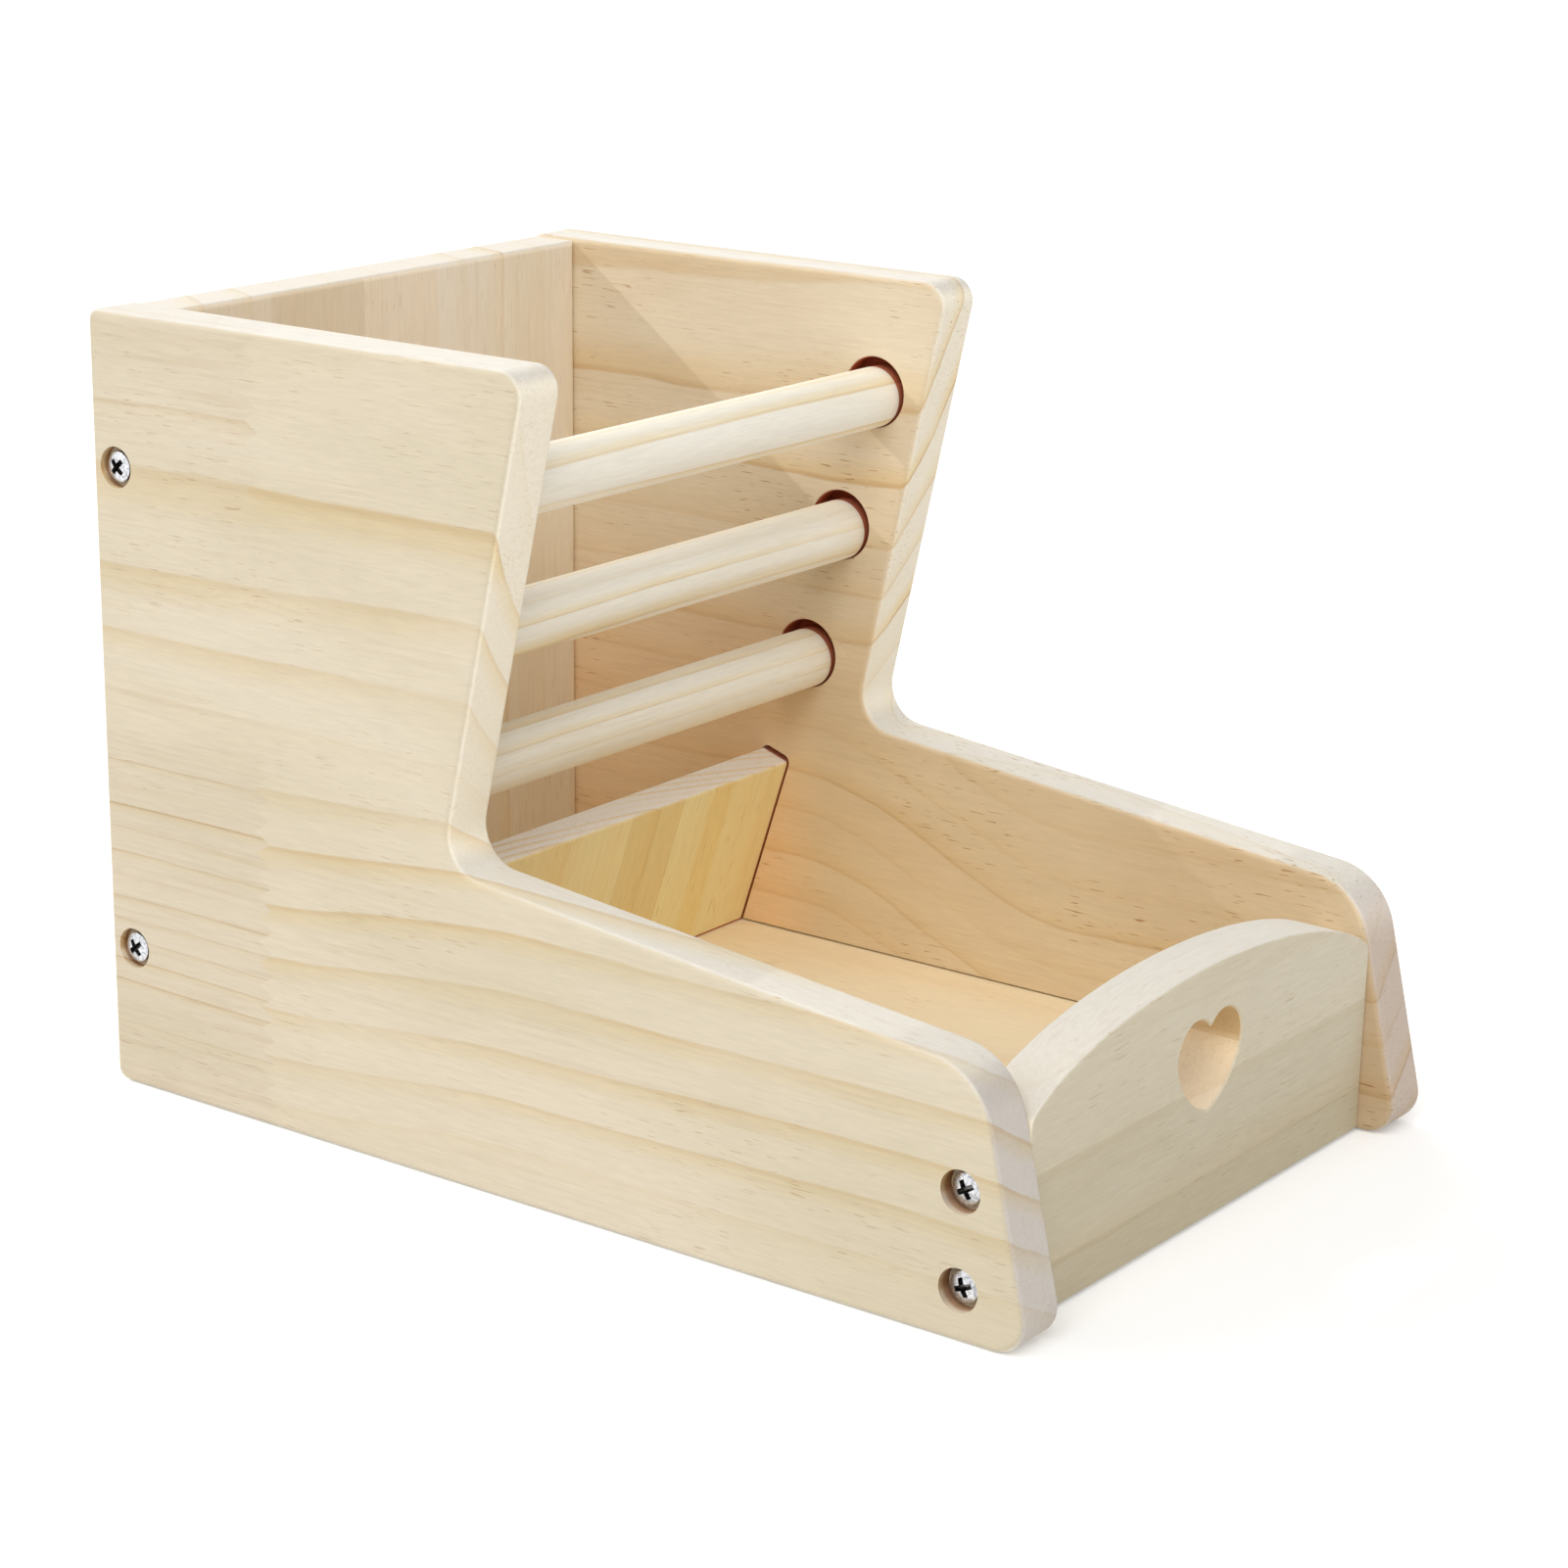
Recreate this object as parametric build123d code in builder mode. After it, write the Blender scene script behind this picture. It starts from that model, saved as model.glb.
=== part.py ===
from build123d import *
from math import asin, atan2, cos, hypot, radians, sin
import os

# Free-standing wooden hay feeder. Two boot-shaped sides carry a back board, a front board with an arched
# top, a floor and an inclined divider. Behind the divider is the open-topped hay hopper, whose front is
# three loose rods; in front of it is the open feed tray.
#
# Millimetres. X runs across, the tray faces -Y and Z is up. The origin lies on the ground, under the
# middle of the whole feeder.

# ---- Overall size
width = 160.0  # over the outer faces of the two sides
depth = 246.0  # from the back edges to the toe of the tray
height = 176.0  # from the ground to the top edges of the sides

# ---- Boards
board = 13.0  # thickness of the sides, the back and the front
thin_board = 8.0  # thickness of the floor and the divider
edge_round = 1.3  # eased edges of the sides and the back board
front_edge_round = 0.5  # and of the front board
thin_edge_round = 0.8  # eased top edges of the divider
foot_edge_round = 0.4  # eased edges of the divider's foot
seam = 0.15  # gap where a board's end butts against another board
ground_gap = 0.6  # the back and front boards end this far above the ground

# ---- Outline of a side: distances in front of the back edge, and heights
hopper_top = 123.0  # sharp corner of the hopper's top and front edges
waist_reach = 99.3  # sharp corner between the hopper's front edge and the tray wall
waist_height = 69.3
tray_corner_inset = 11.1  # from the toe back to the sharp corner of the tray wall's top and front edges
tray_height = 56.0
heel_radius = 3.0
back_top_radius = 2.5
hopper_radius = 5.3
waist_radius = 8.8
tray_radius = 15.7
toe_radius = 7.0

# ---- Back and front boards
back_inset = 0.5  # the back board lies this far inside the sides' back edges
back_drop = 0.6  # and this far below their top edges
front_inset = 8.3  # the foot of the front board's face lies this far behind the toe
front_lean = 0.8  # degrees from upright, top to the front
arch_overrun = 4.55  # the arched top's ellipse runs on this far past each end of the front board
arch_rise = 21.5  # height of that ellipse above its springing line
arch_spring = 35.6  # height of the springing line above the ground
shoulder_radius = 3.0  # where the arch meets the board's upright ends

# ---- Heart cut-out in the front board
heart_lobe_radius = 7.0
heart_lobe_offset = 5.5  # from the middle of the heart to the middle of a lobe
heart_below_crown = 18.0  # from the top of the arch down to the lobes' centres
heart_drop = 14.0  # from the lobes' centres down to the tip
heart_flank_angle = 20.0  # degrees below level where a lobe runs over into a flank
heart_edge_round = 0.4

# ---- Floor and divider, let into grooves in the sides
floor_clear = 5.3  # from the ground to the floor's underside
groove_depth = 4.0
groove_seat_gap = 0.1  # under the floor and behind the divider, where they bear on their grooves
groove_play = 0.5  # above the floor and in front of the divider
groove_bottom_play = 0.25  # between the boards' ends and the bottoms of their grooves
groove_end_gap = 1.2  # above the divider's top edge
groove_corner = 2.0  # corner radius of the divider's groove
floor_groove_corner = 0.6
floor_end_play = 0.3  # between the floor and the back and front boards
divider_reach = 65.6  # from the back edges to the divider's foot
divider_length = 45.0  # along its front face
divider_lean = 18.0  # degrees from upright, top to the front

# ---- Rods, loose in blind holes in the sides
rod_count = 3
rod_radius = 7.0
rod_hole_radius = 8.2
rod_hole_depth = 6.0
rod_hole_chamfer = 0.3
rod_end_play = 0.5  # between a rod's end and the bottom of its hole
rod_seat_gap = 0.1  # under a rod that lies in its hole
rod_end_chamfer = 0.8
rack_drop = 26.9  # from the sides' top edges down to the uppermost hole
rack_foot = 84.0  # from the ground to the lowest hole
upper_hole_inset = 14.0  # from the hopper's front edge back to the uppermost hole
lower_hole_inset = 17.8  # and to the lowest one

# ---- Wood screws through the sides, in counterbores
back_screw_drop = 33.9  # from the sides' top edges down to the back board's upper screws
back_screw_height = 32.5  # from the ground to its lower ones
front_screw_heights = (31.0, 10.7)
front_screw_inset = 6.8  # from the foot of the front board's face back to its screws
counterbore_radius = 4.6
back_head_sink = 0.15  # from the side's face down to the tops of the back board's screws
front_head_sink = 1.4  # and to those of the front board's
head_radius = 3.3
head_height = 2.4
head_rim = 1.6  # height of the head's straight rim under its dome
shank_radius = 1.75
screw_length = 28.0  # under the head
screw_tip = 4.0  # length of the point
screw_play = 0.05  # around a shank in its hole
first_screw_turn = 45.0  # degrees from level of the first screw's cross
next_screw_turn = 8.0  # degrees that each following cross is turned on from the last one
cross_width = 1.25
cross_length = 4.2
cross_depth = 1.8
cross_taper = 12.0  # degrees

# ---- Places that follow from the sizes
inner = width / 2 - board  # from the middle to a side's inner face
back_y = depth / 2
floor_top = floor_clear + thin_board
back_face_y = back_y - back_inset - board  # inner face of the back board
front_face_y = -depth / 2 + front_inset  # outer face of the front board
floor_middle_y = (back_face_y + front_face_y + board) / 2
floor_depth = back_face_y - front_face_y - board - 2 * floor_end_play
groove_width = thin_board + groove_seat_gap + groove_play
board_half = inner - seam  # half the length of the back and front boards
grooved_half = inner + groove_depth - groove_bottom_play  # half the length of the floor and the divider
arch_span = 2 * (board_half + arch_overrun)
heart_lobe_height = arch_spring + arch_rise - heart_below_crown

# The side's front edge is tangent to the toe's arc, whose foremost point is the feeder's.
tray_reach = depth - tray_corner_inset
toe_ahead = depth - toe_radius - tray_reach
toe_drop = tray_height - toe_radius
front_slant = asin(toe_radius / hypot(toe_ahead, toe_drop)) + atan2(toe_ahead, toe_drop)
toe_reach = tray_reach + tray_height * sin(front_slant) / cos(front_slant)

# The divider's cross-section, in Y and Z: its foot is cut level, to stand on the floor.
lean = radians(divider_lean)
up_divider = Vector(-sin(lean), cos(lean))
across_divider = Vector(cos(lean), sin(lean))
divider_foot = Vector(back_y - divider_reach, floor_top)
divider_heel = divider_foot + Vector(thin_board / cos(lean), 0)
divider_front_top = divider_foot + up_divider * divider_length
divider_back_top = divider_front_top + across_divider * thin_board

# The row of holes, from the top one down, in Y and Z. It follows the hopper's slanting front edge.
hopper_slant = (hopper_top - waist_reach) / (height - waist_height)
rack_head = height - rack_drop
upper_hole_y = back_y - hopper_top + hopper_slant * (height - rack_head) + upper_hole_inset
lower_hole_y = back_y - hopper_top + hopper_slant * (height - rack_foot) + lower_hole_inset
rack_top = Vector(upper_hole_y, rack_head)
rack_step = (Vector(lower_hole_y, rack_foot) - rack_top) / (rod_count - 1)
rod_holes = [rack_top + rack_step * i for i in range(rod_count)]
rod_drop = rod_hole_radius - rod_radius - rod_seat_gap  # a rod's axis lies this far below its hole's

# Screws, in Y and Z. The back board's run into the middle of its ends.
back_screw_y = back_face_y + board / 2
front_screw_y = front_face_y + front_screw_inset
back_screws = [(back_screw_y, z) for z in (height - back_screw_drop, back_screw_height)]
front_screws = [(front_screw_y, z) for z in front_screw_heights]
screw_rows = [(back_screws, back_head_sink + head_height), (front_screws, front_head_sink + head_height)]
screw_hole_radius = shank_radius + screw_play


def pilot_depth(counterbore_depth):
    """How far a screw goes into the board behind the side, with its play."""
    return screw_length - (board - counterbore_depth) + screw_play


os.makedirs("parts", exist_ok=True)


# ---- Sides
outer_plane = Plane.YZ.offset(-width / 2)
inner_plane = Plane.YZ.offset(-inner)

with BuildPart() as left_side:
    with BuildSketch(outer_plane):
        with BuildLine():
            FilletPolyline(
                (back_y, 0),
                (back_y, height),
                (back_y - hopper_top, height),
                (back_y - waist_reach, waist_height),
                (back_y - tray_reach, tray_height),
                (back_y - toe_reach, 0),
                radius=[heel_radius, back_top_radius, hopper_radius, waist_radius, tray_radius, toe_radius],
                close=True,
            )
        make_face()
    extrude(amount=board)
    broad_faces = left_side.faces().sort_by(Axis.X)
    fillet(broad_faces[0].edges() + broad_faces[-1].edges(), radius=edge_round)
    # Grooves for the floor and the divider
    with BuildSketch(inner_plane):
        with Locations((floor_middle_y, floor_clear - groove_seat_gap + groove_width / 2)):
            RectangleRounded(floor_depth + 2 * groove_play, groove_width, floor_groove_corner)
        divider_middle = (thin_board + groove_seat_gap - groove_play) / 2
        groove_start = divider_foot + across_divider * divider_middle - up_divider * (thin_board / 2)
        with Locations(Location(groove_start, divider_lean)):
            RectangleRounded(
                groove_width,
                thin_board / 2 + divider_length + groove_end_gap,
                groove_corner,
                align=(Align.CENTER, Align.MIN),
            )
    extrude(amount=-groove_depth, mode=Mode.SUBTRACT)
    # Blind holes for the rods
    with BuildSketch(inner_plane):
        with Locations(*rod_holes):
            Circle(rod_hole_radius)
    extrude(amount=-rod_hole_depth, mode=Mode.SUBTRACT)
    hole_rims = left_side.edges().filter_by(GeomType.CIRCLE).filter_by(
        lambda edge: abs(edge.radius - rod_hole_radius) < 0.01 and abs(edge.center().X + inner) < 0.01
    )
    chamfer(hole_rims, length=rod_hole_chamfer)
    # Counterbored screw holes, drilled from outside
    screw_face = Plane(origin=(-width / 2, 0, 0), x_dir=(0, -1, 0), z_dir=(-1, 0, 0))
    for screws, counterbore_depth in screw_rows:
        with Locations(screw_face):
            with Locations(*[(-y, z) for y, z in screws]):
                CounterBoreHole(screw_hole_radius, counterbore_radius, counterbore_depth, board)

with BuildPart() as right_side:
    mirror(left_side.part, about=Plane.YZ)

# ---- Back board
with BuildPart() as back_panel:
    with BuildSketch(Plane.XZ.offset(-back_face_y)):
        with Locations((0, ground_gap)):
            Rectangle(2 * board_half, height - back_drop - ground_gap, align=(Align.CENTER, Align.MIN))
    extrude(amount=-board)
    long_edges = back_panel.faces().sort_by(Axis.Y)
    fillet(long_edges[0].edges() + long_edges[-1].edges(), radius=edge_round)
    for side in (-1, 1):
        end_plane = Plane(origin=(side * board_half, 0, 0), x_dir=(0, side, 0), z_dir=(side, 0, 0))
        with Locations(end_plane):
            with Locations(*[(side * y, z) for y, z in back_screws]):
                Hole(screw_hole_radius, pilot_depth(back_head_sink + head_height))

# ---- Front board
front_tilt = radians(front_lean)
front_plane = Plane(origin=(0, front_face_y, 0), x_dir=(1, 0, 0), z_dir=(0, -cos(front_tilt), -sin(front_tilt)))

with BuildPart() as front_panel:
    with BuildSketch(front_plane) as front_outline:
        with Locations((0, arch_spring)):
            Ellipse(arch_span / 2, arch_rise)
            Rectangle(arch_span, arch_spring - ground_gap, align=(Align.CENTER, Align.MAX))
        with Locations((0, ground_gap)):
            Rectangle(2 * board_half, height, align=(Align.CENTER, Align.MIN), mode=Mode.INTERSECT)
        fillet(front_outline.vertices().group_by(Axis.Y)[-1], radius=shoulder_radius)
    extrude(amount=-board)
    broad_faces = front_panel.faces().sort_by(Axis.Y)
    fillet(broad_faces[0].edges() + broad_faces[-1].edges(), radius=front_edge_round)
    # The heart: two round lobes and two flanks that meet at the tip
    with BuildSketch(front_plane):
        with BuildLine():
            tip = Vector(0, heart_lobe_height - heart_drop)
            lobe = Vector(heart_lobe_offset, heart_lobe_height)
            notch = Vector(0, heart_lobe_height + (heart_lobe_radius**2 - heart_lobe_offset**2) ** 0.5)
            flank_turn = radians(heart_flank_angle)
            flank_start = lobe + Vector(cos(flank_turn), -sin(flank_turn)) * heart_lobe_radius
            lobe_top = lobe + Vector(cos(flank_turn), sin(flank_turn)) * heart_lobe_radius
            ThreePointArc(notch, lobe_top, flank_start)
            TangentArc(flank_start, tip, tangent=(-sin(flank_turn), -cos(flank_turn)))
            mirror(about=Plane.YZ)
        make_face()
    extrude(amount=-board, mode=Mode.SUBTRACT)
    for side in (-1, 1):
        end_plane = Plane(origin=(side * board_half, 0, 0), x_dir=(0, side, 0), z_dir=(side, 0, 0))
        with Locations(end_plane):
            with Locations(*[(side * y, z) for y, z in front_screws]):
                Hole(screw_hole_radius, pilot_depth(front_head_sink + head_height))
    heart_box_height = 2 * (heart_lobe_radius + heart_drop)
    heart_edges = front_panel.edges().filter_by(
        lambda edge: abs(edge.center().X) < 2 * heart_lobe_radius
        and abs(edge.center().Z - heart_lobe_height) < heart_box_height / 2
        and edge.bounding_box().size.Y < board / 2
    )
    chamfer(heart_edges, length=heart_edge_round)

# ---- Floor
with BuildPart() as floor_panel:
    with BuildSketch(Plane.XY.offset(floor_clear)):
        with Locations((0, floor_middle_y)):
            Rectangle(2 * grooved_half, floor_depth)
    extrude(amount=thin_board)

# ---- Divider
with BuildPart() as divider_panel:
    with BuildSketch(Plane.YZ):
        with BuildLine():
            Polyline(divider_foot, divider_front_top, divider_back_top, divider_heel, close=True)
        make_face()
    extrude(amount=grooved_half, both=True)
    long_edges = divider_panel.edges().filter_by(Axis.X).sort_by(Axis.Z)
    fillet(long_edges[2:], radius=thin_edge_round)
    fillet(long_edges[:2], radius=foot_edge_round)

# ---- Rods
rod_half = inner + rod_hole_depth - rod_end_play
rods = []
for rod_name, hole in zip(("rod_upper", "rod_middle", "rod_lower"), rod_holes):
    with BuildPart() as rod:
        with BuildSketch(Plane.YZ):
            with Locations(hole - Vector(0, rod_drop)):
                Circle(rod_radius)
        extrude(amount=rod_half, both=True)
        chamfer(rod.edges().filter_by(GeomType.CIRCLE), length=rod_end_chamfer)
    rod.part.label = rod_name
    rods.append(rod.part)

# ---- Screws: one is made upright, with the underside of its head at the origin, then placed eight times
with BuildPart() as screw:
    with BuildSketch(Plane.XZ):
        with BuildLine():
            Polyline(
                (0, head_height),
                (0, -screw_length),
                (shank_radius, -screw_length + screw_tip),
                (shank_radius, 0),
                (head_radius, 0),
                (head_radius, head_rim),
            )
            TangentArc((0, head_height), (head_radius, head_rim), tangent=(1, 0))
        make_face()
    revolve(axis=Axis.Z)
    with BuildSketch(Plane.XY.offset(head_height)):
        Rectangle(cross_length, cross_width)
        Rectangle(cross_width, cross_length)
    extrude(amount=-cross_depth, taper=cross_taper, mode=Mode.SUBTRACT)

screw_seats = []
for side in (-1, 1):
    for screws, counterbore_depth in screw_rows:
        seat_x = side * (width / 2 - counterbore_depth)  # where the undersides of the heads lie
        for y, z in screws:
            turn = radians(first_screw_turn + next_screw_turn * len(screw_seats))
            cross_arm = (0, cos(turn), sin(turn))
            screw_seats.append(Plane(origin=(seat_x, y, z), x_dir=cross_arm, z_dir=(side, 0, 0)))

with BuildPart() as panel_screws:
    with Locations(*screw_seats):
        add(screw.part)

# ---- One STEP file per node
left_side.part.label = "left_side"
right_side.part.label = "right_side"
back_panel.part.label = "back_panel"
front_panel.part.label = "front_panel"
floor_panel.part.label = "floor_panel"
divider_panel.part.label = "divider_panel"
panel_screws.part.label = "panel_screws"

boards = [left_side, right_side, back_panel, front_panel, floor_panel, divider_panel]
for piece in [made.part for made in boards] + rods + [panel_screws.part]:
    export_step(piece, f"parts/{piece.label}.step")
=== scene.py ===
from math import cos, radians, sin

import bpy
from mathutils import Matrix, Vector


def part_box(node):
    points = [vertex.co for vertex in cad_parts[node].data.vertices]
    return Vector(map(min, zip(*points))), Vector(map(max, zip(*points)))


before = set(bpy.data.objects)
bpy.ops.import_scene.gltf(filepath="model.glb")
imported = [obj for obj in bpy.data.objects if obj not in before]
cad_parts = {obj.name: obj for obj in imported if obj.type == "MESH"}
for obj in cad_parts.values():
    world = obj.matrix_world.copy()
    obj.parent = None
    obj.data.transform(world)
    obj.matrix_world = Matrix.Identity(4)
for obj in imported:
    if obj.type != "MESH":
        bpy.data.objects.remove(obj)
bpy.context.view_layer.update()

scene = bpy.context.scene

# The pieces are the CAD solids themselves, dressed in their materials. Lengths inside a material are
# millimetres in the shared frame: X across the feeder, the tray towards -Y, Z up.
MILLIMETRES = 1000.0
OUTER_FACE = 80.0  # the sides' faces, from the middle
INNER_FACE = 67.0
FLOOR_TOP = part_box("floor_panel")[1][2] * MILLIMETRES
DIVIDER_LEAN = radians(18)  # from upright, top to the front
BACK_SINK = 0.15  # of the screws' heads below the sides' faces
FRONT_SINK = 1.4


def srgb(red, green, blue):
    """A colour written as it looks on a screen, 0 to 255, made linear."""
    tones = [value / 255 for value in (red, green, blue)]
    return tuple(tone / 12.92 if tone <= 0.04045 else ((tone + 0.055) / 1.055) ** 2.4 for tone in tones)


# ---- Camera
CAMERA_PLACE = Vector((-0.64748, -0.48760, 0.31240))
CAMERA_AZIMUTH = radians(-53.32)
CAMERA_ELEVATION = radians(16.39)
CAMERA_ROLL = radians(0.63)
CAMERA_LENS = 88.29
SENSOR_WIDTH = 36.0


def add_camera():
    data = bpy.data.cameras.new("camera")
    data.sensor_width = SENSOR_WIDTH
    data.lens = CAMERA_LENS
    camera = bpy.data.objects.new("camera", data)
    scene.collection.objects.link(camera)
    level = cos(CAMERA_ELEVATION)
    toward = Vector((-sin(CAMERA_AZIMUTH) * level, cos(CAMERA_AZIMUTH) * level, -sin(CAMERA_ELEVATION)))
    right = toward.cross(Vector((0, 0, 1))).normalized()
    up = right.cross(toward)
    rolled_right = right * cos(CAMERA_ROLL) + up * sin(CAMERA_ROLL)
    rolled_up = up * cos(CAMERA_ROLL) - right * sin(CAMERA_ROLL)
    turn = Matrix((rolled_right, rolled_up, -toward)).transposed()
    camera.matrix_world = Matrix.Translation(CAMERA_PLACE) @ turn.to_4x4()
    scene.camera = camera


# ---- Light and backdrop
STRIP_HEIGHT = radians(37.6)  # of the long lamp behind the feeder, above the floor
STRIP_REACH = 4.0
STRIP_SIZE = (11.0, 0.04)
STRIP_POWER = 147.0
SOFTBOX_HEIGHT = radians(50)
SOFTBOX_TURN = radians(30)  # from the feeder's left towards its tray
SOFTBOX_REACH = 3.0
SOFTBOX_SIZE = (2.4, 2.4)
SOFTBOX_POWER = 46.5
WORLD_LEVEL = 0.5  # as a light; where it is seen, the world is white
FLOOR_SIZE = 9.0
FLOOR_DROP = 0.0003  # below the feeder's foot
FLOOR_TONE = (0.9, 0.9, 0.9)
FLOOR_ROUGHNESS = 0.9
FLOOR_SPECULAR = 0.1
FLOOR_LIFT = 0.23  # added to the floor where the camera sees it, so that it is white outside the shadow
FLOOR_NEAR = 1.0  # metres from the feeder, within which the lift is constant
FLOOR_FAR = 3.5  # and beyond which the floor is as white as the world


def seen_directly(nodes, links):
    """1 for camera, mirror and glass rays, 0 for the rays that light the object."""
    path = nodes.new("ShaderNodeLightPath")
    seen = path.outputs["Is Camera Ray"]
    for other in ("Is Glossy Ray", "Is Transmission Ray"):
        either = nodes.new("ShaderNodeMath")
        either.operation = "MAXIMUM"
        links.new(seen, either.inputs[0])
        links.new(path.outputs[other], either.inputs[1])
        seen = either.outputs[0]
    return seen


def add_lamp(name, outward, reach, power, size):
    light = bpy.data.lights.new(name, "AREA")
    light.shape = "RECTANGLE"
    light.size, light.size_y = size
    light.energy = power
    lamp = bpy.data.objects.new(name, light)
    scene.collection.objects.link(lamp)
    lamp.location = outward * reach
    lamp.rotation_euler = (-outward).to_track_quat("-Z", "Y").to_euler()
    lamp.visible_camera = False


def add_lights():
    behind = Vector((0, cos(STRIP_HEIGHT), sin(STRIP_HEIGHT)))
    add_lamp("strip", behind, STRIP_REACH, STRIP_POWER, STRIP_SIZE)
    level = cos(SOFTBOX_HEIGHT)
    beside = Vector((-level * cos(SOFTBOX_TURN), -level * sin(SOFTBOX_TURN), sin(SOFTBOX_HEIGHT)))
    add_lamp("softbox", beside, SOFTBOX_REACH, SOFTBOX_POWER, SOFTBOX_SIZE)


def add_world():
    world = bpy.data.worlds.new("studio")
    world.use_nodes = True
    scene.world = world
    nodes, links = world.node_tree.nodes, world.node_tree.links
    background = nodes["Background"]
    background.inputs["Color"].default_value = (1, 1, 1, 1)
    level = nodes.new("ShaderNodeMapRange")
    level.inputs["To Min"].default_value = WORLD_LEVEL
    level.inputs["To Max"].default_value = 1.0
    links.new(seen_directly(nodes, links), level.inputs["Value"])
    links.new(level.outputs[0], background.inputs["Strength"])


def add_floor():
    bpy.ops.mesh.primitive_plane_add(size=FLOOR_SIZE, location=(0, 0, -FLOOR_DROP))
    floor = bpy.context.object
    floor.name = "floor"
    shade = Shade("floor_white")
    paint = shade.surface
    paint.inputs["Base Color"].default_value = (*FLOOR_TONE, 1.0)
    paint.inputs["Roughness"].default_value = FLOOR_ROUGHNESS
    paint.inputs["Specular IOR Level"].default_value = FLOOR_SPECULAR
    away = shade.vector("LENGTH", shade.add("TexCoord").outputs["Object"]).outputs["Value"]
    lift = shade.smooth(away, FLOOR_NEAR, FLOOR_FAR, FLOOR_LIFT, 1.0)
    seen = seen_directly(shade.tree.nodes, shade.tree.links)
    glow = shade.add("Emission", {"Strength": shade.product(seen, lift)})
    both = shade.add("AddShader", {0: paint.outputs[0], 1: glow.outputs[0]})
    shade.feed(shade.tree.nodes["Material Output"].inputs["Surface"], both.outputs[0])
    floor.data.materials.append(shade.material)


# ---- Materials
class Shade:
    """One material, with short ways to add its nodes."""

    def __init__(self, name):
        self.material = bpy.data.materials.new(name)
        self.material.use_nodes = True
        self.tree = self.material.node_tree
        self.surface = self.tree.nodes["Principled BSDF"]

    def add(self, kind, inputs=(), **settings):
        node = self.tree.nodes.new("ShaderNode" + kind)
        for key, value in settings.items():
            setattr(node, key, value)
        for key, value in dict(inputs).items():
            self.feed(node.inputs[key], value)
        return node

    def feed(self, socket, value):
        if isinstance(value, bpy.types.NodeSocket):
            self.tree.links.new(value, socket)
        else:
            socket.default_value = value

    def math(self, operation, *values):
        return self.add("Math", enumerate(values), operation=operation).outputs[0]

    def product(self, first, *others):
        for other in others:
            first = self.math("MULTIPLY", first, other)
        return first

    def size(self, value):
        return self.math("ABSOLUTE", value)

    def vector(self, operation, *values):
        return self.add("VectorMath", enumerate(values), operation=operation)

    def scaled(self, vector, factor):
        return self.add("VectorMath", {0: vector, "Scale": factor}, operation="SCALE").outputs[0]

    def combined(self, x, y, z):
        return self.add("CombineXYZ", {0: x, 1: y, 2: z}).outputs[0]

    def split(self, vector):
        return self.add("SeparateXYZ", {0: vector}).outputs

    def smooth(self, value, start, end, low=0.0, high=1.0):
        """Low up to start and high from end on; start may also be the larger of the two."""
        steps = {"Value": value, "From Min": start, "From Max": end, "To Min": low, "To Max": high}
        return self.add("MapRange", steps, interpolation_type="SMOOTHSTEP").outputs[0]

    def noise(self, vector, detail=2.0, roughness=0.5):
        inputs = {"Vector": vector, "Scale": 1.0, "Detail": detail, "Roughness": roughness}
        return self.add("TexNoise", inputs)

    def mixed(self, factor, first, second, blend="MIX"):
        node = self.add("Mix", data_type="RGBA", blend_type=blend)
        for index, value in ((0, factor), (6, first), (7, second)):
            if isinstance(value, tuple):
                value = (*value, 1.0)
            self.feed(node.inputs[index], value)
        return node.outputs[2]

    def between(self, factor, first, second):
        return self.math("MULTIPLY_ADD", factor, self.math("SUBTRACT", second, first), first)

    def relief(self, height, strength, distance):
        bump = self.add("Bump", {"Strength": strength, "Distance": distance, "Height": height})
        self.feed(self.surface.inputs["Normal"], bump.outputs[0])


# A board's layers of noise: where each starts after the board's seed, and its streaks' length and width
SLOW_BEND = dict(start=0.0, length=130.0, width=38.0, detail=1.5)
FIBRES = dict(start=2.0, length=7.0, width=0.6, detail=4.0, roughness=0.65)
DASHES = dict(start=3.0, length=6.0, width=0.45, detail=1.0)
DASH_CROWDS = dict(start=4.0, length=50.0, width=22.0)
QUICK_BEND = dict(start=5.0, length=24.0, width=7.0)
CLOUDS = dict(start=6.0, length=110.0, width=34.0, detail=3.0)
CLOSE_LINES = dict(start=7.0, length=48.0, width=1.2)
CLOSE_CROWDS = dict(start=8.0, length=70.0, width=16.0)
RING_FADE = dict(start=9.0, length=90.0, width=30.0)

# Between which values a layer comes in and, where it isn't from 0 to 1, what it comes to
DASH_SPAN = (0.66, 0.74)
DASH_CROWD_SPAN = (0.42, 0.64)
CLOUD_SPAN = (0.32, 0.68)
CLOSE_LINE_SPAN = (0.52, 0.64)
CLOSE_CROWD_SPAN = (0.42, 0.62, 0.0, 0.4)
RING_FADE_SPAN = (0.3, 0.65, 0.4, 1.0)
RING_VIGOUR_SPAN = (0.15, 0.85, 0.12, 1.0)
FIBRE_TONE_SPAN = (0.25, 0.75, 0.955, 1.035)
FIBRE_GLOSS_SPAN = (0.2, 0.8, 0.72, 0.58)

# Where a ring's marks come in and go, in its turn from 0 to 1
BAND_COMES, BAND_GOES = (0.45, 0.93), (1.0, 0.95)
LINE_COMES, LINE_GOES = (0.85, 0.95), (1.0, 0.965)

# How much of a face's normal lies along the grain, out of the broad face, up or back
END_TURN = (0.45, 0.9)
EDGE_TURN = (0.9, 0.4)
LEVEL_EDGE_TURN = (0.3, 0.8)
OVERHUNG_TURN = (0.5, 0.1)
BACKWARD_TURN = (0.4, 0.9)

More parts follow.
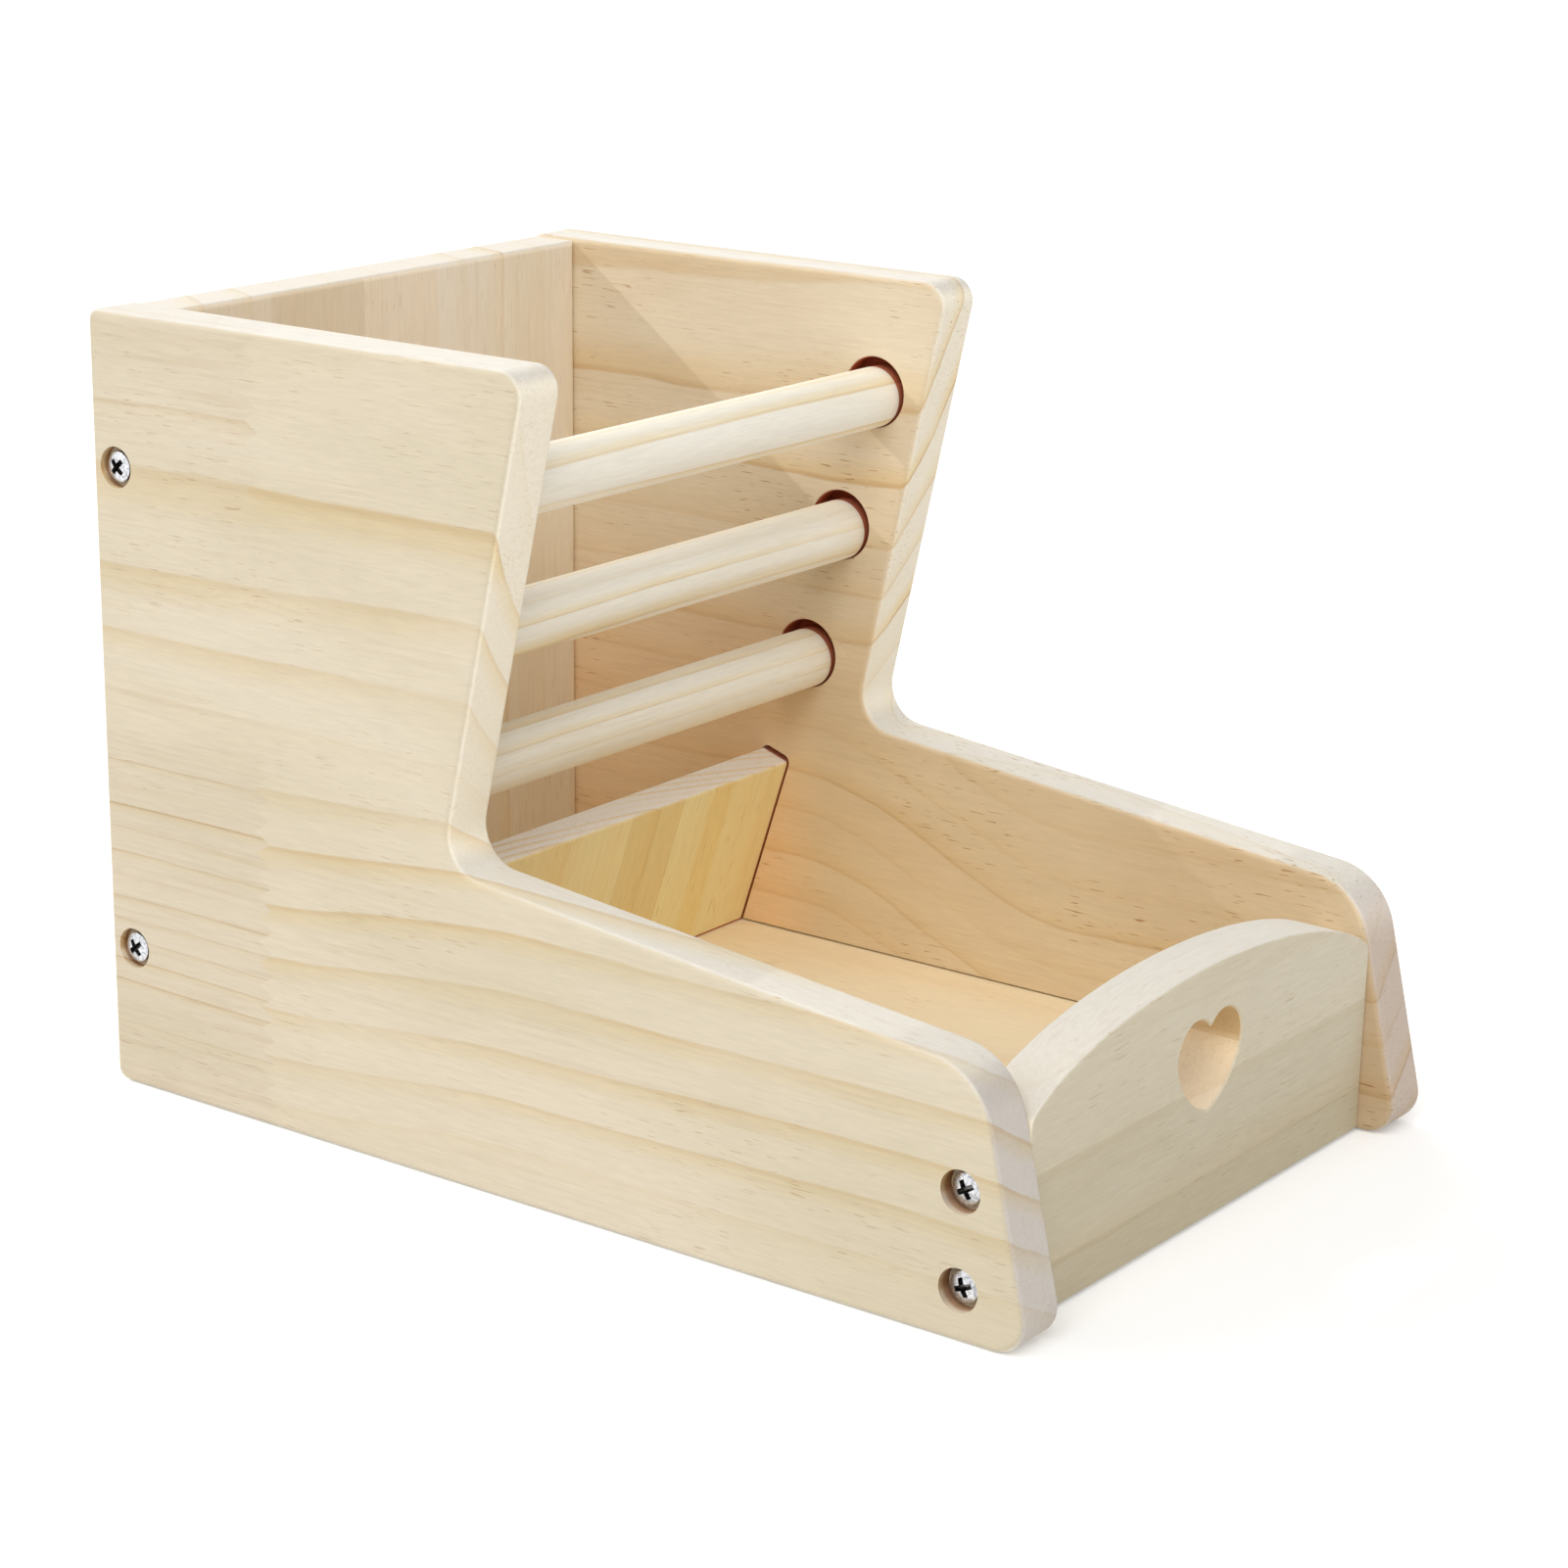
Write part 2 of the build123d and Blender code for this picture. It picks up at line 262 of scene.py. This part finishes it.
# Depths under a side's outer face between which painted shade in the holes and counterbores, and painted
# bounce light on the inner face, come in
ROD_HOLE_DEPTHS = (0.5, 1.2)
COUNTERBORE_FOOT_DEPTHS = (0.7, 2.0)
INSIDE_DEPTHS = (2.0, 10.0)
OPENING_RIM = (0.3, 0.1)  # past an opening's reach, where its tint and painted shade come in
SEAM_BLUR = 0.3
SEAM_HEIGHTS = (0.7, 0.4)  # over the floor

FINGER_WIDTH = 2.5  # of the finger joint, from a tip to the next root
FINGER_SLANT = 1.6  # along the board, for each millimetre of that
JOINT_BLUR = 0.4
DENSE_START = 43.0  # of the dense stave's own layers, after the board's
DENSE_FADE = 14.0  # across the board, from plain wood to dense
DENSE_WANDER = 3.0
DENSE_BANDS = 0.7
DENSE_LINES = 2.4
DENSE_CLOSE_LINES = 0.35
UPPER_DENSITY = 0.55

LATEWOOD_TINT = (0.965, 0.88, 0.70)
LINE_TINT = (0.79, 0.67, 0.54)
CLOSE_LINE_STRENGTH = 0.36
DASH_TINT = (0.66, 0.50, 0.36)
END_TINT = (0.99, 0.97, 0.95)
# Painted shade on faces that face back, towards the strip lamp
BACK_FACING_PAINTED_SHADE = (0.87, 0.86, 0.83)
DENSE_TINT = (0.965, 0.955, 0.955)
# Painted shade in the seams: at the divider's ends and foot, and on the rods inside their holes
SEAM_PAINTED_SHADE = (0.50, 0.18, 0.11)
# Painted shade, dark red-brown, in the blind rod holes
ROD_HOLE_PAINTED_SHADE = (0.60, 0.17, 0.10)
# Painted shade on the counterbores' walls, darker still at their foot
COUNTERBORE_PAINTED_SHADE = (0.93, 0.84, 0.72)
COUNTERBORE_FOOT_PAINTED_SHADE = (0.66, 0.47, 0.37)
HEART_TINT = (0.97, 0.88, 0.75)
# Painted shade on opening walls that hang over
OVERHUNG_PAINTED_SHADE = (0.72, 0.62, 0.47)
OPENING_BOLD = 1.2  # how much more the rings show on the wall of an opening

# The openings' middles, and how far from them the tint and painted shade reach
TOP_ROD_HOLE = Vector((0.0, 19.975, 149.1))
ROD_HOLE_STEP = Vector((0.0, 9.13, -32.55))
ROD_HOLES = [TOP_ROD_HOLE + ROD_HOLE_STEP * row for row in range(3)]
ROD_HOLE_REACH = 8.1
SCREW_HOLES = ((0.0, 116.0, 142.1), (0.0, 116.0, 32.5), (0.0, -107.9, 31.0), (0.0, -107.9, 10.7))
SCREW_HOLE_REACH = 4.7
HEART_MIDDLE = (0.0, 0.0, 36.0)
HEART_REACH = 15.0

PINE_SPECULAR = 0.25
PINE_RELIEF = dict(strength=0.25, distance=0.0002)
LINE_HEIGHT = 0.6  # in the relief, beside the fibres' 1
DASH_HEIGHT = -0.8


class Pine(Shade):
    """Planed pine: growth rings round a pith that runs along the grain, cut by the board's own faces.

    A point lies along the grain, across the board and in its depth, and the pith has its place across and
    in depth. A board is made in the order of the methods: rings, paint, painted shade and darker ends, and
    the figure over all."""

    SIDEWAYS = {"X": ("Z", "Y"), "Y": ("Z", "X"), "Z": ("X", "Y")}
    FLATTENED = {"X": (0.0, 1.0, 1.0), "Y": (1.0, 0.0, 1.0)}

    def __init__(self, name, seed, grain, face=None, lean=0.0):
        super().__init__(name)
        self.seed, self.face = seed, face
        texture = self.add("TexCoord").outputs
        place, normal = self.scaled(texture["Object"], MILLIMETRES), texture["Normal"]
        self.from_middle, self.height = self.size(self.split(place)["X"]), self.split(place)["Z"]
        self.backward, self.upward = self.split(normal)["Y"], self.split(normal)["Z"]
        if lean:
            place, normal = self.stood_up(place, lean), self.stood_up(normal, lean)
        self.place = place
        spot, facing = self.split(place), self.split(normal)
        across, depth = self.SIDEWAYS[grain]
        self.along, self.across, self.depth = spot[grain], spot[across], spot[depth]
        self.end = self.smooth(self.size(facing[grain]), *END_TURN)
        if face:
            self.edge = self.smooth(self.size(facing[face]), *EDGE_TURN)
        self.dense = None
        self.opening = None

    def stood_up(self, vector, lean):
        """A leaning board's vector as if the board stood upright."""
        return self.add("VectorRotate", {"Vector": vector, "Angle": -lean}, rotation_type="X_AXIS").outputs[0]

    def under_face(self, start, end):
        """0 down to a start under a side's outer face, 1 from the end on."""
        return self.smooth(self.from_middle, OUTER_FACE - start, OUTER_FACE - end)

    def streaks(self, start, length, width, detail=2.0, roughness=0.5, later=0.0):
        """Noise stretched along the grain."""
        along = self.math("MULTIPLY_ADD", self.along, 1 / length, self.seed + start + later)
        across, depth = (self.product(value, 1 / width) for value in (self.across, self.depth))
        return self.noise(self.combined(along, across, depth), detail, roughness)

    def layer(self, noise, span, later=0.0):
        """A layer of noise where it comes in."""
        return self.smooth(self.streaks(**noise, later=later).outputs[0], *span)

    # -- Rings
    def grow(self, pith, ring, wander=7.0, inward=False, sweep=None):
        self.band, self.line = self.rings(pith, ring, wander, inward, sweep=sweep)

    def rings(self, pith, ring, wander, inward, later=0.0, sweep=None):
        """Soft latewood bands, and the thin dark line that closes each of them, both 0 to 1."""
        across, depth = self.bent(wander, later)
        if sweep:
            across = self.math("SUBTRACT", across, self.swept(**sweep))
        centre = (*pith, 0.0)
        radius = self.vector("DISTANCE", self.combined(across, depth, 0.0), centre).outputs["Value"]
        count = self.math("DIVIDE", radius, ring)
        turn = self.math("FRACT", count)
        if inward:
            turn = self.math("SUBTRACT", 1.0, turn)
        number = self.math("ADD", self.math("FLOOR", count), self.seed + later)
        vigour = self.add("TexWhiteNoise", {"W": number}, noise_dimensions="1D").outputs["Value"]
        fade = self.layer(RING_FADE, RING_FADE_SPAN, later)
        strength = self.product(self.smooth(vigour, *RING_VIGOUR_SPAN), fade)
        band = self.product(self.smooth(turn, *BAND_COMES), self.smooth(turn, *BAND_GOES), strength)
        line = self.product(self.smooth(turn, *LINE_COMES), self.smooth(turn, *LINE_GOES), strength)
        return band, line

    def bent(self, wander, later):
        """The place across and in depth, led astray slowly both ways, and quickly across as well."""
        slow = self.streaks(**SLOW_BEND, later=later).outputs["Color"]
        shifts = self.add("SeparateColor", {0: slow}).outputs
        across, depth = (
            self.math("MULTIPLY_ADD", self.math("SUBTRACT", shift, 0.5), wander, value)
            for shift, value in zip(shifts, (self.across, self.depth)))
        quick = self.streaks(**QUICK_BEND, later=later).outputs[0]
        return self.math("ADD", across, self.math("MULTIPLY_ADD", quick, wander / 4, -wander / 8)), depth

    def swept(self, start, end, rise, foot, head):
        """The rings' rise from start to end along the board, whole below the foot and none above the head."""
        risen = self.smooth(self.along, start, end, 0.0, rise)
        return self.product(risen, self.smooth(self.across, head, foot))

    def thin_out(self, low, high, least):
        """Weaker rings below high, and only as strong as least below low."""
        share = self.smooth(self.across, low, high, least, 1.0)
        self.band, self.line = self.product(self.band, share), self.product(self.line, share)

    def join_dense_stave(self, joint, ceiling, shelf, pith, ring):
        """Beyond a finger joint, close rings below the ceiling and fainter ones above the shelf."""
        fingers = self.math("PINGPONG", self.across, FINGER_WIDTH)
        reach = self.math("MULTIPLY_ADD", fingers, -FINGER_SLANT, self.along)
        beyond = self.smooth(reach, joint - JOINT_BLUR, joint + JOINT_BLUR)
        lower = self.smooth(self.across, ceiling, ceiling - DENSE_FADE)
        upper = self.smooth(self.across, shelf, shelf + DENSE_FADE, 0.0, UPPER_DENSITY)
        self.dense = self.product(beyond, self.math("MAXIMUM", lower, upper))
        band, line = self.rings(pith, ring, DENSE_WANDER, inward=True, later=DENSE_START)
        self.band = self.between(self.dense, self.band, self.product(band, DENSE_BANDS))
        self.line = self.between(self.dense, self.line, self.product(line, DENSE_LINES))

    # -- Paint
    def paint_faces(self, *tones):
        """Slow clouds between two tones."""
        self.colour = self.mixed(self.layer(CLOUDS, CLOUD_SPAN), *(srgb(*tone) for tone in tones))

    def tint(self, mask, tint):
        self.colour = self.mixed(mask, self.colour, tint, "MULTIPLY")

    def tint_staves(self, *staves):
        """Glued staves, each tinted from its edge to the next one's."""
        ramp = self.add("ValToRGB")
        ramp.color_ramp.interpolation = "CONSTANT"
        stops = ramp.color_ramp.elements
        for index, (edge, tint) in enumerate(staves):
            stop = stops[index] if index < 2 else stops.new(1.0)
            stop.position = 0.5 + edge / (2 * OUTER_FACE)
            stop.color = (*tint, 1.0)
        self.feed(ramp.inputs[0], self.math("MULTIPLY_ADD", self.across, 0.5 / OUTER_FACE, 0.5))
        self.tint(1.0, ramp.outputs["Color"])

    def paint_inside_bounce_light(self, foot, head, tray, hopper, tray_painted_light, hopper_painted_light):
        """Painted bounce light and shade low on a side's inner face: one tint along the tray and another one
        in the hopper.
        """
        tint = self.mixed(self.smooth(self.along, tray, hopper), tray_painted_light, hopper_painted_light)
        low = self.smooth(self.across, head, foot)
        self.tint(self.product(low, self.under_face(*INSIDE_DEPTHS)), tint)

    def paint_edges(self, upright, level):
        # Paler sanded edges, partly painted light: upright edges painted lighter and edges that face up
        # painted darker
        tone = self.mixed(self.smooth(self.upward, *LEVEL_EDGE_TURN), srgb(*upright), srgb(*level))
        self.colour = self.mixed(self.edge, self.colour, tone)

    # -- Painted shade, and darker ends
    def tint_toe(self, start, end, tint):
        """The end grain, from start to end along the board."""
        self.tint(self.product(self.end, self.smooth(self.along, start, end)), tint)

    def tint_tip(self, start, end, tint):
        self.tint(self.smooth(self.along, start, end), tint)

    def paint_seam_shade(self, from_middle, foot=None):
        """Painted shade past a distance from the middle and, if the board has a foot, just above it."""
        shaded_seam = self.smooth(self.from_middle, from_middle, from_middle + SEAM_BLUR)
        if foot:
            low = self.smooth(self.height, *(foot + height for height in SEAM_HEIGHTS))
            shaded_seam = self.math("MAXIMUM", shaded_seam, low)
        self.tint(shaded_seam, SEAM_PAINTED_SHADE)

    def within(self, middles, reach):
        """1 in circles on the broad face."""
        flat_place = self.vector("MULTIPLY", self.place, self.FLATTENED[self.face]).outputs[0]
        rim = [reach + past for past in OPENING_RIM]
        mask = 0.0
        for middle in middles:
            gap = self.vector("DISTANCE", flat_place, middle).outputs["Value"]
            mask = self.math("MAXIMUM", self.smooth(gap, *rim), mask)
        return mask

    def paint_rod_hole_shade(self):
        """Painted shade in the blind holes, and nothing on the outer face behind them."""
        holes = self.product(self.within(ROD_HOLES, ROD_HOLE_REACH), self.under_face(*ROD_HOLE_DEPTHS))
        self.tint(holes, ROD_HOLE_PAINTED_SHADE)

    def tint_opening_and_paint_shade(self, middles, reach, tint):
        """The walls of openings in their own tint, with painted shade where they hang over."""
        self.opening = self.product(self.within(middles, reach), self.edge)
        self.tint(self.opening, tint)
        self.tint(self.product(self.opening, self.smooth(self.upward, *OVERHUNG_TURN)), OVERHUNG_PAINTED_SHADE)

    def paint_screw_hole_shade(self):
        """Painted shade in the counterbores, darker towards their foot."""
        self.tint_opening_and_paint_shade(SCREW_HOLES, SCREW_HOLE_REACH, COUNTERBORE_PAINTED_SHADE)
        foot = self.product(self.opening, self.under_face(*COUNTERBORE_FOOT_DEPTHS))
        self.tint(foot, COUNTERBORE_FOOT_PAINTED_SHADE)

    # -- Figure
    def finish(self, bands=1.0, lines=0.6, dashes=0.5, end_bold=0.9):
        """Rings, resin dashes, close lines and fibres over the paint, then gloss and relief.

        The rings are bolder by end_bold on end grain."""
        bold = self.math("MULTIPLY_ADD", self.end, end_bold, 1.0)
        if self.opening:
            bold = self.math("MULTIPLY_ADD", self.opening, OPENING_BOLD, bold)
        self.tint(self.product(self.band, bands, bold), LATEWOOD_TINT)
        self.tint(self.product(self.line, lines, bold), LINE_TINT)
        dash = self.product(self.layer(DASHES, DASH_SPAN), self.layer(DASH_CROWDS, DASH_CROWD_SPAN))
        self.tint(self.product(dash, dashes), DASH_TINT)
        self.tint(self.product(self.close_lines(), CLOSE_LINE_STRENGTH), LINE_TINT)
        if self.dense:
            self.tint(self.dense, DENSE_TINT)
        # Painted shade on faces that face back
        self.tint(self.smooth(self.backward, *BACKWARD_TURN), BACK_FACING_PAINTED_SHADE)
        self.tint(self.end, END_TINT)
        fibre = self.streaks(**FIBRES).outputs[0]
        colour = self.scaled(self.colour, self.smooth(fibre, *FIBRE_TONE_SPAN))
        self.feed(self.surface.inputs["Base Color"], colour)
        self.feed(self.surface.inputs["Roughness"], self.smooth(fibre, *FIBRE_GLOSS_SPAN))
        self.surface.inputs["Specular IOR Level"].default_value = PINE_SPECULAR
        height = self.math("MULTIPLY_ADD", dash, DASH_HEIGHT, fibre)
        self.relief(self.math("MULTIPLY_ADD", self.line, LINE_HEIGHT, height), **PINE_RELIEF)
        return self.material

    def close_lines(self):
        """Thin lines between the rings, more of them in the dense stave."""
        share = self.layer(CLOSE_CROWDS, CLOSE_CROWD_SPAN)
        if self.dense:
            share = self.math("MULTIPLY_ADD", self.dense, DENSE_CLOSE_LINES, share)
        return self.product(self.layer(CLOSE_LINES, CLOSE_LINE_SPAN), share)


EDGE_TONES_WITH_PAINTED_LIGHT = ((255, 248, 230), (231, 225, 213))  # paler sanded edges, with painted light: upright edges painted lighter, then those that face up painted darker


def left_pine():
    """Plain wood, with a dense stave behind a finger joint."""
    pith = (190.0, 20.0)
    pine = Pine("pine_left", seed=3898.0, grain="Y", face="X")
    pine.grow(pith, ring=10.0, wander=4.5, inward=True,
              sweep=dict(start=80.0, end=0.0, rise=6.5, foot=60.0, head=100.0))
    pine.join_dense_stave(joint=73.0, ceiling=90.0, shelf=134.0, pith=pith, ring=4.2)
    pine.paint_faces((219, 207, 184), (211, 199, 173))
    pine.paint_edges(*EDGE_TONES_WITH_PAINTED_LIGHT)
    pine.tint_toe(start=-88.0, end=-104.0, tint=(0.66, 0.655, 0.71))
    # Painted shade in the rod holes and the counterbores
    pine.paint_rod_hole_shade()
    pine.paint_screw_hole_shade()
    return pine.finish(bands=0.85, lines=0.35, end_bold=0.4)


def right_pine():
    """Browner low down inside, which is painted bounce light and shade, and greyer at the toe."""
    pine = Pine("pine_right", seed=3305.0, grain="Y", face="X")
    pine.grow(pith=(196.0, -28.0), ring=9.0,
              sweep=dict(start=40.0, end=-40.0, rise=-24.0, foot=62.0, head=84.0))
    pine.thin_out(low=54.0, high=78.0, least=0.55)
    pine.paint_faces((236, 221, 194), (229, 210, 180))
    # Painted bounce light and shade low on the inner face
    pine.paint_inside_bounce_light(foot=60.0, head=116.0, tray=30.0, hopper=50.0,
                     tray_painted_light=(0.96, 0.905, 0.815), hopper_painted_light=(1.15, 0.98, 0.83))
    pine.paint_edges(*EDGE_TONES_WITH_PAINTED_LIGHT)
    pine.tint_toe(start=-84.0, end=-104.0, tint=(0.84, 0.81, 0.86))
    # Darker and browner towards the tip
    pine.tint_tip(start=-112.0, end=-115.5, tint=(0.75, 0.70, 0.66))
    # Painted shade in the rod holes and the counterbores
    pine.paint_rod_hole_shade()
    pine.paint_screw_hole_shade()
    return pine.finish(bands=1.1, lines=0.8, dashes=1.2, end_bold=0.3)


def back_pine():
    pine = Pine("pine_back", seed=31.0, grain="Z", face="Y")
    pine.grow(pith=(-120.0, 160.0), ring=13.0, wander=8.0)
    pine.paint_faces((250, 240, 225), (246, 234, 213))
    pine.tint_staves(
        (-80.0, (0.97, 0.92, 0.84)),
        (-38.0, (0.92, 0.85, 0.75)),
        (-8.0, (1.0, 0.94, 0.85)),
        (17.0, (1.0, 0.98, 0.94)),
        (44.0, (0.97, 0.94, 0.88)))
    pine.paint_edges(*EDGE_TONES_WITH_PAINTED_LIGHT)
    return pine.finish(bands=0.5, lines=0.3)


def front_pine():
    pine = Pine("pine_front", seed=44.0, grain="X", face="Y")
    pine.grow(pith=(153.8, -30.0), ring=16.8, wander=3.0)
    pine.paint_faces((221, 211, 188), (215, 203, 178))
    pine.tint_staves(
        (-80.0, (0.86, 0.85, 0.79)),
        (10.2, (0.92, 0.91, 0.88)),
        (31.0, (1.0, 1.0, 1.0)))
    pine.paint_edges(*EDGE_TONES_WITH_PAINTED_LIGHT)
    # The heart's walls in their tint, with painted shade where they hang over
    pine.tint_opening_and_paint_shade((HEART_MIDDLE,), HEART_REACH, HEART_TINT)
    return pine.finish(bands=0.6, dashes=0.6)


def floor_pine():
    pine = Pine("pine_floor", seed=52.0, grain="Y", face="Z")
    pine.grow(pith=(70.0, 30.0), ring=8.0)
    pine.paint_faces((250, 233, 200), (245, 225, 188))
    pine.paint_edges(*EDGE_TONES_WITH_PAINTED_LIGHT)
    return pine.finish(bands=0.6)


def divider_pine():
    """Golden staves, with bold rings on the pale end grain at the top."""
    pine = Pine("pine_divider", seed=63.0, grain="Z", face="Y", lean=DIVIDER_LEAN)
    pine.grow(pith=(-50.0, -300.0), ring=2.2, wander=2.0)
    pine.paint_faces((255, 244, 196), (255, 237, 184))
    pine.tint_staves(
        (-80.0, (1.0, 0.96, 0.88)),
        (-24.5, (1.0, 0.96, 0.89)),
        (8.0, (0.92, 0.83, 0.69)),
        (27.0, (1.0, 0.98, 0.91)),
        (38.5, (0.97, 0.90, 0.72)),
        (46.0, (1.0, 0.97, 0.90)))
    # Edges as pale as the wood gets, the top edge painted lighter: painted light
    pine.paint_edges((252, 245, 232), (255, 249, 240))
    # Painted shade at the divider's ends and along its foot
    pine.paint_seam_shade(INNER_FACE - 0.4, foot=FLOOR_TOP)
    return pine.finish(bands=0.45, lines=0.15, end_bold=4.0)


def rod_pine(name, seed, pith_depth):
    pine = Pine(name, seed, grain="X")
    pine.grow(pith=(150.0, pith_depth), ring=4.2, wander=2.0)
    pine.paint_faces((251, 245, 231), (246, 238, 219))
    # Painted shade on the rod's ends inside the holes
    pine.paint_seam_shade(INNER_FACE)
    return pine.finish(bands=1.2, dashes=0.2)


PLATE_TONES = ((232, 233, 235), (168, 170, 176))
# Grime and painted shade down in the cross and round a head's rim
GRIME_AND_SHADE_TONES = ((84, 80, 78), (150, 147, 146))
DOME_DEPTHS = (1.3, 0.9)  # under the side's face, between which a head's plate turns bright
DOME_TURN = (0.4, 0.65)
PATCH_SCALE = 1.3
PATCH_TONE_SPAN = (0.35, 0.7)
PATCH_GLOSS_SPAN = (0.3, 0.75, 0.22, 0.4)
SCRATCH_SCALE = (1.0, 7.0, 1.6)
SCRATCH_TONE_SPAN = (0.4, 0.65)
ZINC_RELIEF = dict(strength=0.4, distance=0.0001)


def zinc():
    """Bright zinc plate, dull and dark with grime and painted shade down in the cross and round the head's
    rim.
    """
    shade = Shade("zinc")
    texture = shade.add("TexCoord").outputs
    place = shade.scaled(texture["Object"], MILLIMETRES)
    spot, facing = shade.split(place), shade.split(texture["Normal"])
    sunk = shade.product(shade.math("LESS_THAN", spot["Y"], 0.0), FRONT_SINK - BACK_SINK)
    outward = shade.math("ADD", shade.size(spot["X"]), sunk)
    dome = shade.smooth(outward, *(OUTER_FACE - depth for depth in DOME_DEPTHS))
    bright = shade.product(dome, shade.smooth(shade.size(facing["X"]), *DOME_TURN))
    patches = shade.noise(shade.scaled(place, PATCH_SCALE), detail=3.0, roughness=0.6).outputs[0]
    scratches = shade.noise(shade.vector("MULTIPLY", place, SCRATCH_SCALE).outputs[0]).outputs[0]
    plate = shade.mixed(shade.smooth(patches, *PATCH_TONE_SPAN), *(srgb(*tone) for tone in PLATE_TONES))
    # Grime and painted shade wherever the head isn't its bright dome
    grime_and_shade = shade.mixed(shade.smooth(scratches, *SCRATCH_TONE_SPAN), *(srgb(*tone) for tone in GRIME_AND_SHADE_TONES))
    shade.feed(shade.surface.inputs["Base Color"], shade.mixed(bright, grime_and_shade, plate))
    shade.surface.inputs["Metallic"].default_value = 1.0
    shade.feed(shade.surface.inputs["Roughness"], shade.smooth(patches, *PATCH_GLOSS_SPAN))
    shade.relief(scratches, **ZINC_RELIEF)
    return shade.material


def dress(node, material):
    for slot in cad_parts[node].material_slots:
        slot.material = material


def dress_feeder():
    dress("left_side", left_pine())
    dress("right_side", right_pine())
    dress("back_panel", back_pine())
    dress("front_panel", front_pine())
    dress("floor_panel", floor_pine())
    dress("divider_panel", divider_pine())
    dress("rod_upper", rod_pine("pine_rod_upper", seed=71.0, pith_depth=60.0))
    dress("rod_middle", rod_pine("pine_rod_middle", seed=75.0, pith_depth=48.0))
    dress("rod_lower", rod_pine("pine_rod_lower", seed=79.0, pith_depth=52.0))
    dress("panel_screws", zinc())


add_camera()
add_lights()
add_world()
add_floor()
dress_feeder()
scene.view_settings.view_transform = "Standard"
